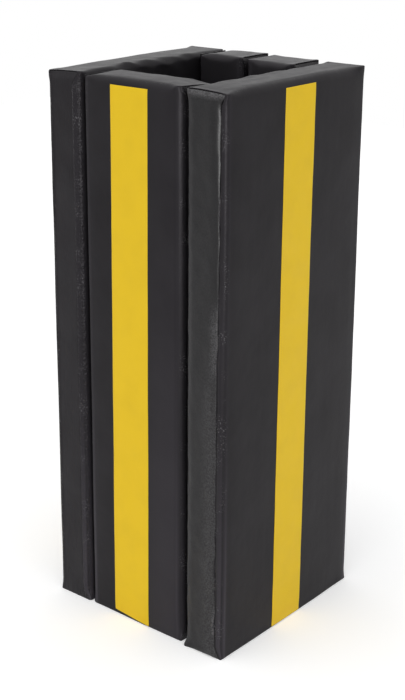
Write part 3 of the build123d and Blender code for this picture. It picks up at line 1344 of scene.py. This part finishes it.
@dataclass
class LoopTape:
    """Loop tape from the right pad's column face round its corner and over its front end."""

    panel: EndPanel
    node: str
    wing: float = 0.060
    edge: float = 0.0008
    foot: float = 0.0004
    headroom: float = 0.0002
    turn: float = 0.0070
    sharpness: float = 0.80
    ragged: float = 0.0008
    ragged_wave: Ripple = Ripple(71, 0.030)
    pile: float = 0.0010
    nap: float = 0.00022
    nap_wave: Ripple = Ripple(72, 0.011, 12)
    cockle: float = 0.0003
    cockle_wave: Ripple = Ripple(73, 0.045)
    flare: float = 0.0030
    flare_reach: float = 0.013
    flare_fall: float = 1.5
    border_share: float = 0.35
    border_reach: Pair = (-0.001, 0.0022)
    backing: float = 0.0004
    # Top band: the frayed cut end, also painted light where the top catches light from above.
    fray_and_lit_top: Pair = (0.0033, 0.0110)
    pale_stretches: tuple = (
        # The first stretch is a painted sheen band low on the tape beside its outer edge; the other two are
        # scuffs.
        PaleStretch(0.46, (0.006, 0.034), (-1.0, 0.0), (0.38, 0.58)),
        PaleStretch(1.6, (0.001, 0.006), (0.030, 0.050), (0.075, 0.100)),
        PaleStretch(0.9, (0.002, 0.018), (0.460, 0.500), (0.560, 0.610)),
    )
    row_steps: Pair = (0.0012, 0.007)
    wing_steps: Pair = (0.06, 0.13)
    over_steps: Pair = (0.012, 0.06)
    turn_steps: int = 8

    def top(self) -> float:
        """Height of the tape's upper end."""
        return self.panel.cover.end_top() - self.panel.shape.lip - self.headroom

    def build(self) -> None:
        """Thin closed tape with a ragged outer edge, slightly lifted at the corner."""
        cover = self.panel.cover
        top = self.top()
        heights = self.foot + graded(top - self.foot, *self.row_steps)
        pointed = self.panel.shape.near_point(np.minimum(heights, top - heights))
        turn = (self.turn * (1.0 - self.sharpness * pointed))[:, None]
        ragged = self.ragged * self.ragged_wave.at(np.stack([heights, heights * 0, heights * 0], -1))
        reach = (self.panel.across(heights)[1] - self.edge + ragged)[:, None]
        wing = graded(1.0, *self.wing_steps)[::-1]
        angles = np.linspace(0.0, math.pi / 2, self.turn_steps + 1)[1:-1]
        over = graded(1.0, *self.over_steps)
        round_u, round_v = 1.0 - np.sin(angles), 1.0 - np.cos(angles)
        u = np.concatenate([turn + wing * (self.wing - turn), turn * round_u, 0.0 * reach * over], 1)
        v = np.concatenate([0.0 * turn * wing, turn * round_v, turn + over * (reach - turn)], 1)
        w = np.repeat(heights[:, None], u.shape[1], axis=1)
        out_u = np.concatenate([np.zeros_like(wing), -np.sin(angles), -np.ones_like(over)])
        out_v = np.concatenate([-np.ones_like(wing), -np.cos(angles), np.zeros_like(over)])
        out = np.stack([np.broadcast_to(out_u, w.shape), np.broadcast_to(out_v, w.shape), w * 0], -1)
        sink = np.where(v > 0.0, self.panel.depth(np.maximum(v, self.turn * 2), w), 0.0)
        u += sink * smooth(v, 0.0, self.turn * 2)
        fallen = w - self.panel.shape.sag(v / cover.frame.thickness, w, cover.end_top())
        base = np.stack([u, v, fallen], -1)
        front = cover.frame.world(base + out * self.thickness(u, v, w, reach)[..., None])
        back = cover.frame.world(base - out * self.backing)
        # Paler weights of the pile: frayed top with painted light, a painted sheen band, and scuffs.
        fray_and_painted_sheen = fade(top - w, *self.fray_and_lit_top)
        for painted_sheen in self.pale_stretches:
            fray_and_painted_sheen = np.maximum(fray_and_painted_sheen, painted_sheen.at(reach - v, w))
        piece = Shell.slab(front, back, fray_and_painted_sheen).make("right_loop_strip", LOOP_PILE.material())
        settle(piece, cover.name.body, Slot.LOOP_TAPE, self.node)

    def thickness(self, u: Array, v: Array, w: Array, reach: Array) -> Array:
        """Height of the pile, flared at the foot of the corner and thin along the cut borders.

        Args:
            u: Places along the pad.
            v: Places across the end.
            w: Heights.
            reach: Place of the outer edge across the end, for each row.

        Returns:
            One thickness for each place.
        """
        points = np.stack([u, v, w], -1).reshape(-1, 3)
        nap = self.nap * self.nap_wave.at(points) + self.cockle * self.cockle_wave.at(points)
        near_corner = np.exp(-(u / self.turn) ** 2) * np.clip(1.0 - v / reach, 0.0, 1.0) ** self.flare_fall
        flared = self.flare * near_corner * fade(w, self.foot, self.flare_reach)
        border = smooth(np.minimum(reach - v, self.top() - w), *self.border_reach)
        share = self.border_share + (1.0 - self.border_share) * border
        return (self.pile + nap.reshape(w.shape) + flared) * share


@dataclass
class HookTape:
    """Hook tape down the middle of the front pad's right end."""

    panel: EndPanel
    node: str
    width: float = 0.038
    margin: float = 0.030
    pile: float = 0.0010
    backing: float = 0.0003
    border_share: float = 0.4
    border_reach: float = 0.0016
    row_steps: Pair = (0.0015, 0.009)
    column_steps: Pair = (0.0012, 0.004)

    def build(self) -> None:
        """Thin closed tape on the end panel."""
        cover = self.panel.cover
        middle = cover.frame.thickness / 2
        heights = self.margin + graded(cover.end_top() - 2 * self.margin, *self.row_steps)
        across = middle - self.width / 2 + graded(self.width, *self.column_steps)
        v, w = np.meshgrid(across, heights)
        ends = np.minimum(w - heights[0], heights[-1] - w)
        border = smooth(np.minimum(self.width / 2 - np.abs(v - middle), ends), 0.0, self.border_reach)
        pile = self.pile * (self.border_share + (1.0 - self.border_share) * border)
        face = cover.frame.length - self.panel.depth(v, w)
        front = cover.frame.world(np.stack([face + pile, v, w], -1))
        back = cover.frame.world(np.stack([face - self.backing, v, w], -1))
        piece = Shell.slab(front, back).make("front_hook_strip", HOOK_PILE.material())
        settle(piece, cover.name.body, Slot.HOOK_TAPE, self.node)


@dataclass
class HingeStrip:
    """Folded vinyl strip that joins two pads, bent across their joint."""

    node: str
    inward: Triple
    first: PadName
    second: PadName
    tuck: float = 0.0
    sheet: float = 0.0008
    inset: float = 0.0001
    crease: float = 0.0003
    crease_turns: float = 95.0
    drift: float = 3.0
    drift_turns: float = 23.0
    fold_steps: int = 10
    wing_steps: Pair = (0.004, 0.006)
    row_steps: Pair = (0.002, 0.010)
    bend_share: float = 0.2

    def build(self) -> None:
        """Thin closed strip along the fold of its node."""
        low, high = (np.array(corner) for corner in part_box(self.node))
        inward = np.array(self.inward, float)
        across = np.cross(inward, UP)
        gap = abs((high - low) @ across)
        reach = abs((high - low) @ inward)
        fold_end = (low + high) / 2 - inward * (reach / 2 - self.tuck)
        radius = gap / 2 - self.inset
        flange = reach - self.tuck - gap / 2
        wing = graded(flange, *self.wing_steps)[1:]
        flat = np.ones(len(wing))
        angles = np.linspace(0.0, math.pi, self.fold_steps + 1)
        side = np.concatenate([-flat, -np.cos(angles), flat])
        inner = np.concatenate([0 * flat, np.sin(angles), 0 * flat])
        depth = np.concatenate([wing[::-1] + gap / 2, gap / 2 - radius * np.sin(angles), wing + gap / 2])
        towards = -np.outer(side, across) * (1 - inner)[:, None] + np.outer(inner, inward)
        towards = towards / np.linalg.norm(towards, axis=1, keepdims=True)
        section = fold_end * (1, 1, 0) + np.outer(side * radius, across) + np.outer(depth, inward)
        heights = low[2] + graded(high[2] - low[2], *self.row_steps)
        drift = self.drift * np.sin(heights * self.drift_turns)
        wave = self.crease * np.sin(heights * self.crease_turns + drift)
        front = section + wave[:, None, None] * np.outer(inner, inward)
        front[..., 2] = heights[:, None]
        name = self.node.replace("_strip", "_cloth")
        piece = Shell.slab(front, front + towards * self.sheet).make(name, HINGE_VINYL.material())
        bend = across * gap * self.bend_share
        if (self.first.middle() - self.second.middle()) @ across > 0:
            bend = -bend
        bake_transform(piece)
        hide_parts(self.node)


@dataclass
class Pad:
    """One pad: its cover, its foam and the panels of its two ends."""

    name: PadName
    outward: Triple
    end_nodes: tuple[str, str]
    ends: tuple[EndForm, EndForm]
    forms: dict = field(default_factory=dict)
    cover: Optional[Cover] = field(default=None, init=False)
    panels: list[EndPanel] = field(default_factory=list, init=False)

    def build(self) -> None:
        """Builds the pad's pieces, inside first."""
        pad_frame = PadFrame.of(self.name, self.outward)
        FoamCore(self.name, pad_frame).build()
        self.cover = Cover(self.name, pad_frame, tuple(end.value for end in self.ends), **self.forms)
        self.cover.build()
        for end, node in zip(End, self.end_nodes):
            panel = EndPanel(self.cover, end, f"{self.name.value}_{node}_end_panel")
            panel.build()
            self.panels.append(panel)


@dataclass(frozen=True)
class PhotoCamera:
    """Camera at the photograph's viewing angle."""

    eye: Triple = (1.3764, -1.6879, 1.2200)
    yaw: float = 40.50
    pitch: float = 17.49
    focal: float = 1375.9
    axis_pixel: Pair = (176.0, 296.1)
    picture: tuple[int, int] = (405, 700)
    sensor: float = 36.0

    def build(self) -> None:
        """Adds the camera and makes it the scene's."""
        width, height = self.picture
        data = bpy.data.cameras.new("photo_camera")
        data.sensor_width = self.sensor
        data.lens = self.focal / height * self.sensor
        data.shift_x = (width / 2 - self.axis_pixel[0]) / height
        data.shift_y = (self.axis_pixel[1] - height / 2) / height
        camera = bpy.data.objects.new("photo_camera", data)
        camera.location = self.eye
        camera.rotation_euler = (math.radians(90.0 - self.pitch), 0.0, math.radians(self.yaw))
        bpy.context.scene.collection.objects.link(camera)
        bpy.context.scene.camera = camera


@dataclass(frozen=True)
class Studio:
    """Plain pale floor, white surroundings and soft light."""

    floor_size: float = 8.0
    floor_tone: float = 0.92
    floor_glow: float = 0.24
    beyond: float = 0.60
    sky: float = 1.10
    horizon: Pair = (-0.06, 0.04)
    ambience: float = 0.58
    overhead: float = 1.40
    overhead_turn: Triple = (24.0, 0.0, 14.0)
    overhead_spread: float = 90.0
    strip_place: Triple = (1.55, -1.65, 0.62)
    strip_size: Pair = (0.70, 0.52)
    strip_power: float = 32.0

    def build(self) -> None:
        """Adds the floor, the world and the lamps."""
        bpy.context.scene.view_settings.view_transform = "Standard"
        self.floor()
        self.world()
        self.sun()
        self.strip()

    def floor(self) -> None:
        """Large pale floor that keeps the object's shadow."""
        half = self.floor_size / 2
        corners = np.array([(-half, -half, 0.0), (half, -half, 0.0), (half, half, 0.0), (-half, half, 0.0)])
        paint = bpy.data.materials.new("pale_floor")
        paint.use_nodes = True
        bench = NodeBench(paint.node_tree)
        matt = bench.lay("ShaderNodeBsdfDiffuse", {"Color": (self.floor_tone,) * 3 + (1.0,)})
        rays = bench.lay("ShaderNodeLightPath").outputs
        seen = bench.join("MAXIMUM", rays["Is Camera Ray"], rays["Is Glossy Ray"])
        glow = bench.span(seen, (0.0, 1.0), (0.0, self.floor_glow))
        shine = bench.lay("ShaderNodeEmission", {"Strength": glow})
        both = bench.lay("ShaderNodeAddShader", {0: matt.outputs[0], 1: shine.outputs[0]})
        bench.lay("ShaderNodeOutputMaterial", {"Surface": both.outputs[0]})
        Shell(corners, [(0, 1, 2, 3)]).make("pale_floor", paint)

    def world(self) -> None:
        """White surroundings to the eye, dimmer below the horizon in reflections, and softer as light."""
        world = bpy.data.worlds.new("white_surroundings")
        world.use_nodes = True
        bpy.context.scene.world = world
        bench = NodeBench(world.node_tree)
        rays = bench.lay("ShaderNodeLightPath").outputs
        seen = bench.join("MAXIMUM", rays["Is Camera Ray"], rays["Is Transmission Ray"])
        height = bench.upward(bench.lay("ShaderNodeTexCoord").outputs["Generated"])
        mirrored = bench.span(height, self.horizon, (self.beyond, self.sky))
        grey = bench.lay("ShaderNodeMix", {0: rays["Is Glossy Ray"], 2: self.ambience, 3: mirrored})
        grey = bench.lay("ShaderNodeMix", {0: seen, 2: grey.outputs[0], 3: 1.0})
        white = {"Color": (1.0, 1.0, 1.0, 1.0), "Strength": grey.outputs[0]}
        sky = bench.lay("ShaderNodeBackground", white)
        bench.lay("ShaderNodeOutputWorld", {"Surface": sky.outputs[0]})

    def sun(self) -> None:
        """Adds a wide soft lamp overhead."""
        data = bpy.data.lights.new("overhead", "SUN")
        data.energy = self.overhead
        data.angle = math.radians(self.overhead_spread)
        lamp = bpy.data.objects.new("overhead", data)
        lamp.rotation_euler = [math.radians(angle) for angle in self.overhead_turn]
        bpy.context.scene.collection.objects.link(lamp)

    def strip(self) -> None:
        """Adds an upright lamp at the front right, seen only in the edges that mirror it."""
        data = bpy.data.lights.new("front_strip", "AREA")
        data.shape = "RECTANGLE"
        data.size, data.size_y = self.strip_size
        data.energy = self.strip_power
        lamp = bpy.data.objects.new("front_strip", data)
        lamp.location = self.strip_place
        turn = math.atan2(self.strip_place[1], self.strip_place[0]) + math.pi / 2
        lamp.rotation_euler = (math.pi / 2, 0.0, turn)
        lamp.visible_camera = False
        lamp.visible_diffuse = False
        bpy.context.scene.collection.objects.link(lamp)


def make_pads() -> dict[PadName, Pad]:
    """The five pads in the order of their making, each with the forms of its two ends.

    Returns:
        The pads by their names.
    """
    pads = (
        Pad(
            PadName.LEFT, (-1, 0, 0), ("rear", "front"), (EndForm.FOLDED, EndForm.HINGED),
            {"thinner": 0.0020, "seam": Seam.PUCKERED, "rumple": 0.0018},
        ),
        Pad(
            PadName.FRONT, (0, -1, 0), ("left", "right"), (EndForm.TUCKED, EndForm.CLOSING),
            {"lower": 0.0020},
        ),
        Pad(
            PadName.RIGHT, (1, 0, 0), ("front", "rear"), (EndForm.TAPED, EndForm.PROUD),
            {"thinner": 0.0010, "lower": 0.0018, "inner_roll": 0.0050},
        ),
        Pad(
            PadName.REAR_RIGHT, (0, 1, 0), ("corner", "middle"), (EndForm.PROUD, EndForm.FLUSH),
            {"outer_roll": 0.0045, "seam": Seam.GATHERED},
        ),
        Pad(
            PadName.REAR_LEFT, (0, 1, 0), ("middle", "corner"), (EndForm.TAPERED, EndForm.ROUNDED),
            {"outer_roll": 0.0045, "lower": -0.0015, "seam": Seam.GATHERED},
        ),
    )
    return {pad.name: pad for pad in pads}


def make_stripes(pads: dict[PadName, Pad]) -> list[Stripe]:
    """The three stripes, each a little out of true in its own way.

    Args:
        pads: The finished pads.

    Returns:
        The stripes, ready to build.
    """
    low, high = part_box("right_stripe")
    width, top = high[1] - low[1], high[2]
    left, front, right = (pads[name].cover for name in (PadName.LEFT, PadName.FRONT, PadName.RIGHT))
    return [
        Stripe(left, width, top, foot=0.0012),
        Stripe(right, width, top - 0.0018, foot=0.0020, offset=-0.003, lean=-0.0045),
        Stripe(front, width - 0.001, top - 0.0025, foot=0.0045, offset=-0.0067, lean=-0.005, slant=0.0055),
    ]


def make_hinges() -> list[HingeStrip]:
    """The four hinge strips, those at the left corners tucked in behind the pads' outer faces.

    Returns:
        The strips, ready to build.
    """
    left, front, right = PadName.LEFT, PadName.FRONT, PadName.RIGHT
    rear_left, rear_right = PadName.REAR_LEFT, PadName.REAR_RIGHT
    return [
        HingeStrip("front_left_hinge_strip", (0, 1, 0), left, front, tuck=0.006),
        HingeStrip("rear_left_hinge_strip", (0, -1, 0), left, rear_left, tuck=0.006),
        HingeStrip("rear_middle_hinge_strip", (0, -1, 0), rear_left, rear_right),
        HingeStrip("rear_right_hinge_strip", (0, -1, 0), rear_right, right),
    ]


def main() -> None:
    """Builds the pads, what joins them and the studio, in order."""
    logging.basicConfig(level=logging.INFO, format="%(name)s: %(message)s")
    pads = make_pads()
    for pad in pads.values():
        pad.build()
    for stripe in make_stripes(pads):
        stripe.build()
    LoopTape(pads[PadName.RIGHT].panels[0], "right_loop_tape").build()
    HookTape(pads[PadName.FRONT].panels[1], "front_hook_tape").build()
    for hinge in make_hinges():
        hinge.build()
    Studio().build()
    PhotoCamera().build()


if __name__ == "__main__":
    main()
